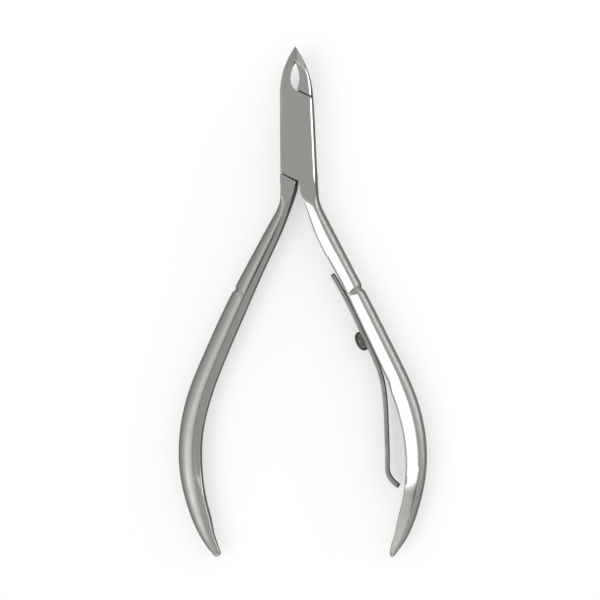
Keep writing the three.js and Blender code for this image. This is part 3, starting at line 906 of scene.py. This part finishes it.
# an empty group of nodes with its inputs and outputs
def newGroup(name, inputs, outputs):
    tree = bpy.data.node_groups.new(name, "ShaderNodeTree")
    for label, kind, value in inputs:
        socket = tree.interface.new_socket(label, in_out="INPUT", socket_type=kind)
        if value is not None:
            socket.default_value = value
    for label in outputs:
        tree.interface.new_socket(label, in_out="OUTPUT", socket_type="NodeSocketFloat")
    source = tree.nodes.new("NodeGroupInput")
    sink = tree.nodes.new("NodeGroupOutput")
    return tree, source.outputs, sink.inputs


# Long fine lines left by a belt or a wheel: noise drawn out along the first direction of the lay.
def makeBrushedGrain():
    tree, given, out = newGroup("brushedGrain", [
        ("Vector", "NodeSocketVector", None), ("Along", "NodeSocketFloat", 300.0),
        ("Across", "NodeSocketFloat", 6000.0)], ["Height", "Streak"])
    spread = node(tree, "ShaderNodeCombineXYZ")
    feed(tree, spread.inputs[0], given["Along"])
    feed(tree, spread.inputs[1], given["Across"])
    feed(tree, spread.inputs[2], given["Across"])
    drawn = stretch(tree, given["Vector"], spread.outputs[0])
    feed(tree, out["Height"], noise(tree, drawn, 1.0, 3.0, 0.6))
    broad = stretch(tree, drawn, (0.35, 0.22, 0.22))
    feed(tree, out["Streak"], noise(tree, broad, 1.0, 2.0, 0.5))
    return tree


# Thin handling scratches in two slanting directions, broken up by a slow noise.
def makeHairScratches():
    tree, given, out = newGroup("hairScratches", [
        ("Vector", "NodeSocketVector", None), ("Fineness", "NodeSocketFloat", 500.0),
        ("Density", "NodeSocketFloat", 0.5)], ["Mask"])
    limit = ramp(tree, given["Density"], 0.0, 1.0, 0.78, 0.62)
    layers = []
    for turn, shift in ((0.5, 3.0), (-0.9, 11.0)):
        turned = node(tree, "ShaderNodeMapping", vector_type="POINT")
        feed(tree, turned.inputs["Vector"], given["Vector"])
        turned.inputs["Rotation"].default_value = (0.2, 0.1, turn)
        turned.inputs["Location"].default_value = (shift, shift, 0)
        thin = stretch(tree, turned.outputs[0], (0.12, 3.2, 3.2))
        line = noise(tree, thin, given["Fineness"], 1.0, 0.4)
        layers.append(ramp(tree, line, limit, calc(tree, "ADD", limit, 0.04)))
    both = calc(tree, "MAXIMUM", *layers)
    breaks = ramp(tree, noise(tree, given["Vector"], 260.0, 2.0), 0.42, 0.6)
    feed(tree, out["Mask"], calc(tree, "MULTIPLY", both, breaks))
    return tree


# Faint cloudy film from handling and wiping.
def makeSoftSmudge():
    tree, given, out = newGroup("softSmudge", [
        ("Vector", "NodeSocketVector", None), ("Size", "NodeSocketFloat", 90.0)], ["Mask"])
    cloud = noise(tree, given["Vector"], given["Size"], 4.0, 0.55)
    feed(tree, out["Mask"], ramp(tree, cloud, 0.36, 0.68))
    return tree


# Brighter rubbed metal on the edges, partly a painted highlight: the marked edge narrowed by a power
# and broken by noise.
def makeEdgeWearAndHighlight():
    tree, given, out = newGroup("edgeWearAndHighlight", [
        ("Edge", "NodeSocketFloat", 0.0), ("Vector", "NodeSocketVector", None),
        ("Width", "NodeSocketFloat", 6.0)], ["Mask"])
    narrow = calc(tree, "POWER", given["Edge"], given["Width"])
    patchy = ramp(tree, noise(tree, given["Vector"], 420.0, 3.0), 0.3, 0.62, 0.45, 1.0)
    feed(tree, out["Mask"], calc(tree, "MULTIPLY", narrow, patchy, clamp=True))
    return tree


# Rings left by turning: a one-directional noise of the distance along the profile.
def makeTurningMarks():
    tree, given, out = newGroup("turningMarks", [
        ("Radius", "NodeSocketFloat", 0.0), ("Fineness", "NodeSocketFloat", 900.0)], ["Height"])
    rings = node(tree, "ShaderNodeTexNoise", noise_dimensions="1D")
    feed(tree, rings.inputs["W"], calc(tree, "MULTIPLY", given["Radius"], given["Fineness"]))
    rings.inputs["Scale"].default_value = 1.0
    rings.inputs["Detail"].default_value = 3.0
    feed(tree, out["Height"], rings.outputs["Fac"])
    return tree


# Tiny specks of polishing compound and dust, on a random few of the cells of a fine mesh of points.
def makeSpecks():
    tree, given, out = newGroup("specks", [
        ("Vector", "NodeSocketVector", None), ("Fineness", "NodeSocketFloat", 1700.0),
        ("Amount", "NodeSocketFloat", 0.08)], ["Mask"])
    cells = node(tree, "ShaderNodeTexVoronoi")
    feed(tree, cells.inputs["Vector"], given["Vector"])
    feed(tree, cells.inputs["Scale"], given["Fineness"])
    lot = node(tree, "ShaderNodeSeparateColor")
    feed(tree, lot.inputs[0], cells.outputs["Color"])
    chosen = calc(tree, "LESS_THAN", lot.outputs[0], given["Amount"])
    dot = ramp(tree, cells.outputs["Distance"], 0.32, 0.12)
    feed(tree, out["Mask"], calc(tree, "MULTIPLY", chosen, dot))
    return tree


effects = {
    "grain": makeBrushedGrain(), "scratches": makeHairScratches(), "smudge": makeSoftSmudge(),
    "wearAndHighlight": makeEdgeWearAndHighlight(), "turning": makeTurningMarks(), "specks": makeSpecks(),
}


# one of the groups placed in a material, with its own values
def effect(tree, name, **sources):
    made = node(tree, "ShaderNodeGroup", node_tree=effects[name], label=name)
    for label, source in sources.items():
        feed(tree, made.inputs[label], source)
    return made.outputs


# a mark on the mesh's points as a mask
def marked(tree, name):
    return node(tree, "ShaderNodeAttribute", attribute_name=name).outputs["Fac"]


# one part of a vector
def partOf(tree, vector, index):
    parts = node(tree, "ShaderNodeSeparateXYZ")
    feed(tree, parts.inputs[0], vector)
    return parts.outputs[index]


# how far one part of a place is from the rivet's
def offRivet(tree, place, index):
    return calc(tree, "ABSOLUTE", calc(tree, "SUBTRACT", partOf(tree, place, index), pivot[index]))


# A metal with nothing on it yet: its tree, its shader, and the places that patterns are read at.
def newMetal(name, sheen):
    material = bpy.data.materials.new(name)
    material.use_nodes = True
    tree = material.node_tree
    shader = tree.nodes["Principled BSDF"]
    shader.inputs["Metallic"].default_value = 1.0
    shader.inputs["Roughness"].default_value = sheen["roughness"]
    place = node(tree, "ShaderNodeTexCoord").outputs["Object"]
    lay = node(tree, "ShaderNodeUVMap", uv_map="lay").outputs["UV"]
    return material, tree, shader, place, lay


# a bump of a height between 0 and 1, so many metres deep
def bumpFrom(tree, shader, height, distance):
    bump = node(tree, "ShaderNodeBump")
    bump.inputs["Distance"].default_value = distance
    feed(tree, bump.inputs["Height"], height)
    feed(tree, shader.inputs["Normal"], bump.outputs[0])


# Forged and polished, with the flats and the jaws ground afterwards, and satin outer sides.
def forgedSteel():
    ground, polished, satin = finish["ground"], finish["polished"], finish["satin"]
    material, tree, shader, place, lay = newMetal("forgedSteel", polished)
    lift = offRivet(tree, place, 2)
    flat = ramp(tree, lift, *finish["flatFrom"])
    isGround = calc(tree, "MAXIMUM", flat, ramp(tree, partOf(tree, place, 1), *finish["tipFrom"]))
    # dark oil and painted shade of the gap between the halves: near the middle plane, within the shoulders
    oilAndGapShade = calc(tree, "MULTIPLY", ramp(tree, lift, *finish["oilAndShadeFrom"]),
                ramp(tree, offRivet(tree, place, 1), *finish["oilAndShadeReach"]))
    grain = effect(tree, "grain", Vector=lay, Along=420.0, Across=9000.0)
    fine = effect(tree, "grain", Vector=lay, Along=2600.0, Across=21000.0)
    specks = effect(tree, "specks", Vector=place, Fineness=2600.0, Amount=0.06)["Mask"]
    band = marked(tree, "band")
    masks = {
        "streak": ramp(tree, grain["Streak"], *finish["streaks"]["forged"]),
        "uneven": calc(tree, "SUBTRACT", grain["Streak"], 0.5),
        "smudge": effect(tree, "smudge", Vector=place, Size=110.0)["Mask"],
        "scratches": effect(tree, "scratches", Vector=place, Fineness=620.0, Density=0.5)["Mask"],
        "specks": calc(tree, "MULTIPLY", specks, ramp(tree, isGround, 0.0, 1.0, 0.15, 0.35)),
        # brighter rubbed edges, partly a painted highlight on the broken edges and the bevel's border
        "wearAndHighlight": effect(tree, "wearAndHighlight", Edge=marked(tree, "edge"), Vector=place, Width=7.0)["Mask"],
        "oilAndGapShade": oilAndGapShade,
        # the crease mark paints shade into the crease under the step
        "crease": marked(tree, "crease"),
    }
    base = mixColour(tree, band, polished["colour"], satin["colour"])
    base = mixColour(tree, isGround, base, ground["colour"])
    feed(tree, shader.inputs["Base Color"], overlay(tree, base, masks, layers["forged"]))

    matt = ramp(tree, band, 0.0, 1.0, polished["roughness"], satin["roughness"])
    matt = ramp(tree, isGround, 0.0, 1.0, matt, ground["roughness"])
    matt = addMasks(tree, matt, masks, roughnessFrom["forged"], clamp=True)
    feed(tree, shader.inputs["Roughness"], matt)

    height = calc(tree, "ADD", grain["Height"], calc(tree, "MULTIPLY", fine["Height"], 0.4))
    height = calc(tree, "MULTIPLY", height, ramp(tree, isGround, 0.0, 1.0, 0.35, 1.0))
    bumpFrom(tree, shader, addMasks(tree, height, masks, heightFrom["forged"]), finish["grainHeight"])
    return material


# Cold rolled strip, blue-grey, drawn along its length and dulled where fingers press.
def springSteel():
    sheen = finish["leaf"]
    material, tree, shader, place, lay = newMetal("rolledSpringSteel", sheen)
    grain = effect(tree, "grain", Vector=lay, Along=260.0, Across=7000.0)
    masks = {
        "streak": ramp(tree, grain["Streak"], *finish["streaks"]["leaf"]),
        "uneven": calc(tree, "SUBTRACT", grain["Streak"], 0.5),
        "smudge": effect(tree, "smudge", Vector=place, Size=160.0)["Mask"],
        "scratches": effect(tree, "scratches", Vector=place, Fineness=900.0, Density=0.65)["Mask"],
        "wearAndHighlight": effect(tree, "wearAndHighlight", Edge=marked(tree, "edge"), Vector=place, Width=3.0)["Mask"],
    }
    feed(tree, shader.inputs["Base Color"], overlay(tree, sheen["colour"], masks, layers["leaf"]))
    matt = addMasks(tree, sheen["roughness"], masks, roughnessFrom["leaf"], clamp=True)
    feed(tree, shader.inputs["Roughness"], matt)
    height = addMasks(tree, grain["Height"], masks, heightFrom["leaf"])
    bumpFrom(tree, shader, height, finish["leafGrainHeight"])
    return material


# A turned piece: rings along the profile, cloudy dulling and small specks of darker metal.
def turnedSteel(name, sheen):
    material, tree, shader, place, lay = newMetal(name, sheen)
    rings = effect(tree, "turning", Radius=partOf(tree, lay, 0), Fineness=1100.0)["Height"]
    masks = {
        "streak": ramp(tree, rings, *finish["streaks"]["turned"]),
        "uneven": calc(tree, "SUBTRACT", rings, 0.5),
        "smudge": effect(tree, "smudge", Vector=place, Size=520.0)["Mask"],
        "specks": effect(tree, "specks", Vector=place, Fineness=4200.0, Amount=0.16)["Mask"],
        "scratches": effect(tree, "scratches", Vector=place, Fineness=1400.0, Density=0.6)["Mask"],
    }
    coats = {mask: (share, sheen[shade]) for mask, (share, shade) in layers["turned"].items()}
    feed(tree, shader.inputs["Base Color"], overlay(tree, sheen["colour"], masks, coats))
    matt = addMasks(tree, sheen["roughness"], masks, roughnessFrom["turned"], clamp=True)
    feed(tree, shader.inputs["Roughness"], matt)
    bumpFrom(tree, shader, addMasks(tree, rings, masks, heightFrom["turned"]), sheen["ringDepth"])
    return material


# gives pieces a material
def dress(material, *pieces):
    for piece in pieces:
        piece.data.materials.clear()
        piece.data.materials.append(material)


dress(forgedSteel(), frontHalf, backHalf)
dress(springSteel(), leafSpring)
dress(turnedSteel("darkScrewSteel", finish["screw"]), springScrew)
dress(turnedSteel("turnedRivetSteel", finish["rivet"]), pivotRivet)
print("finishes made")

# camera and light
view = {
    "aim": (0.00006, 0.00037, 0.0026),
    "turn": 7.0,             # degrees towards the spring side
    "roll": 0.8,
    "field": 0.1202,         # width that the picture takes in, in metres
    "lens": 120.0,           # millimetres, as is the sensor
    "sensor": 36.0,
}

# softboxes: direction round from +X and up from the floor, distance, size and brightness
studio = {
    "room": 0.40,            # what the metal sees of the room, and how bright its wall looks
    "wall": 0.93,
    "roomColour": (1.0, 0.995, 0.985, 1),
    "boxes": {
        "keyBox": {"round": 201, "up": 50, "far": 0.8, "size": (0.36, 0.46), "bright": 1.35},
        "fillBox": {"round": 34, "up": 38, "far": 0.8, "size": (0.8, 0.6), "bright": 0.42},
        "topBox": {"round": 150, "up": 64, "far": 0.8, "size": (0.3, 0.36), "bright": 0.3},
        "sideStrip": {"round": 24, "up": 8, "far": 0.6, "size": (0.76, 0.12), "bright": 2.0},
        "farBox": {"round": 90, "up": 13, "far": 1.0, "size": (1.4, 0.22), "bright": 1.2},
        "nearBox": {"round": 270, "up": 13, "far": 1.0, "size": (1.4, 0.22), "bright": 1.2},
    },
    "floorColour": (0.93, 0.93, 0.92, 1),
    "floorGlow": 0.46,
    "floorInMetal": (0.36, 0.36, 0.355, 1),   # what the metal's sides pick up from the floor
    "floorRoughness": 0.8,
    "floorReach": 3,
    "floorDrop": 0.0002,
}


# The camera stands back from its aim by the field's width times the lens over the sensor, turned
# and rolled by their angles.
def placeCamera():
    data = bpy.data.cameras.new("studioCamera")
    data.lens = view["lens"]
    data.sensor_width = view["sensor"]
    camera = put("studioCamera", data)
    distance = view["field"] * view["lens"] / data.sensor_width
    turn = math.radians(view["turn"])
    back = Vector((math.sin(turn), 0.0, math.cos(turn)))
    up = Vector((0.0, 1.0, 0.0))
    up.rotate(Matrix.Rotation(math.radians(-view["roll"]), 3, back))
    right = up.cross(back).normalized()
    up = back.cross(right)
    pose = Matrix((right, up, back)).transposed().to_4x4()
    pose.translation = Vector(view["aim"]) + back * distance
    camera.matrix_world = pose
    bpy.context.scene.camera = camera


# A light facing the object from its direction; its energy is its brightness times its area times pi.
def softbox(name, box):
    data = bpy.data.lights.new(name, "AREA")
    data.shape = "RECTANGLE"
    data.size, data.size_y = box["size"]
    data.energy = box["bright"] * data.size * data.size_y * math.pi
    lamp = put(name, data)
    turn, up = math.radians(box["round"]), math.radians(box["up"])
    place = Vector((math.cos(turn) * math.cos(up), math.sin(turn) * math.cos(up), math.sin(up)))
    place *= box["far"]
    lamp.location = place
    lamp.rotation_euler = (-place).to_track_quat("-Z", "Y").to_euler()


# an even room, brighter where the camera sees its wall than where the metal does
def makeRoom():
    world = bpy.data.worlds.new("studio")
    bpy.context.scene.world = world
    world.use_nodes = True
    tree = world.node_tree
    backdrop = tree.nodes["Background"]
    backdrop.inputs["Color"].default_value = studio["roomColour"]
    seen = node(tree, "ShaderNodeLightPath").outputs["Is Camera Ray"]
    feed(tree, backdrop.inputs["Strength"], ramp(tree, seen, 0.0, 1.0, studio["room"], studio["wall"]))


# a flat square floor that glows a little to the camera only
def makeFloor():
    mesh, r = bpy.data.meshes.new("floor"), studio["floorReach"]
    mesh.from_pydata([(-r, -r, 0), (r, -r, 0), (r, r, 0), (-r, r, 0)], [], [(0, 1, 2, 3)])
    floor = put("floor", mesh)
    floor.location.z = -studio["floorDrop"]
    material = bpy.data.materials.new("paleFloor")
    material.use_nodes = True
    tree = material.node_tree
    shader = tree.nodes["Principled BSDF"]
    seen = node(tree, "ShaderNodeLightPath").outputs["Is Camera Ray"]
    colour = mixColour(tree, seen, studio["floorInMetal"], studio["floorColour"])
    feed(tree, shader.inputs["Base Color"], colour)
    feed(tree, shader.inputs["Emission Strength"], calc(tree, "MULTIPLY", seen, studio["floorGlow"]))
    shader.inputs["Emission Color"].default_value = (1, 1, 1, 1)
    shader.inputs["Roughness"].default_value = studio["floorRoughness"]
    mesh.materials.append(material)


placeCamera()
for boxName, box in studio["boxes"].items():
    softbox(boxName, box)
makeRoom()
makeFloor()
bpy.context.scene.view_settings.view_transform = "Standard"
print("studio set")
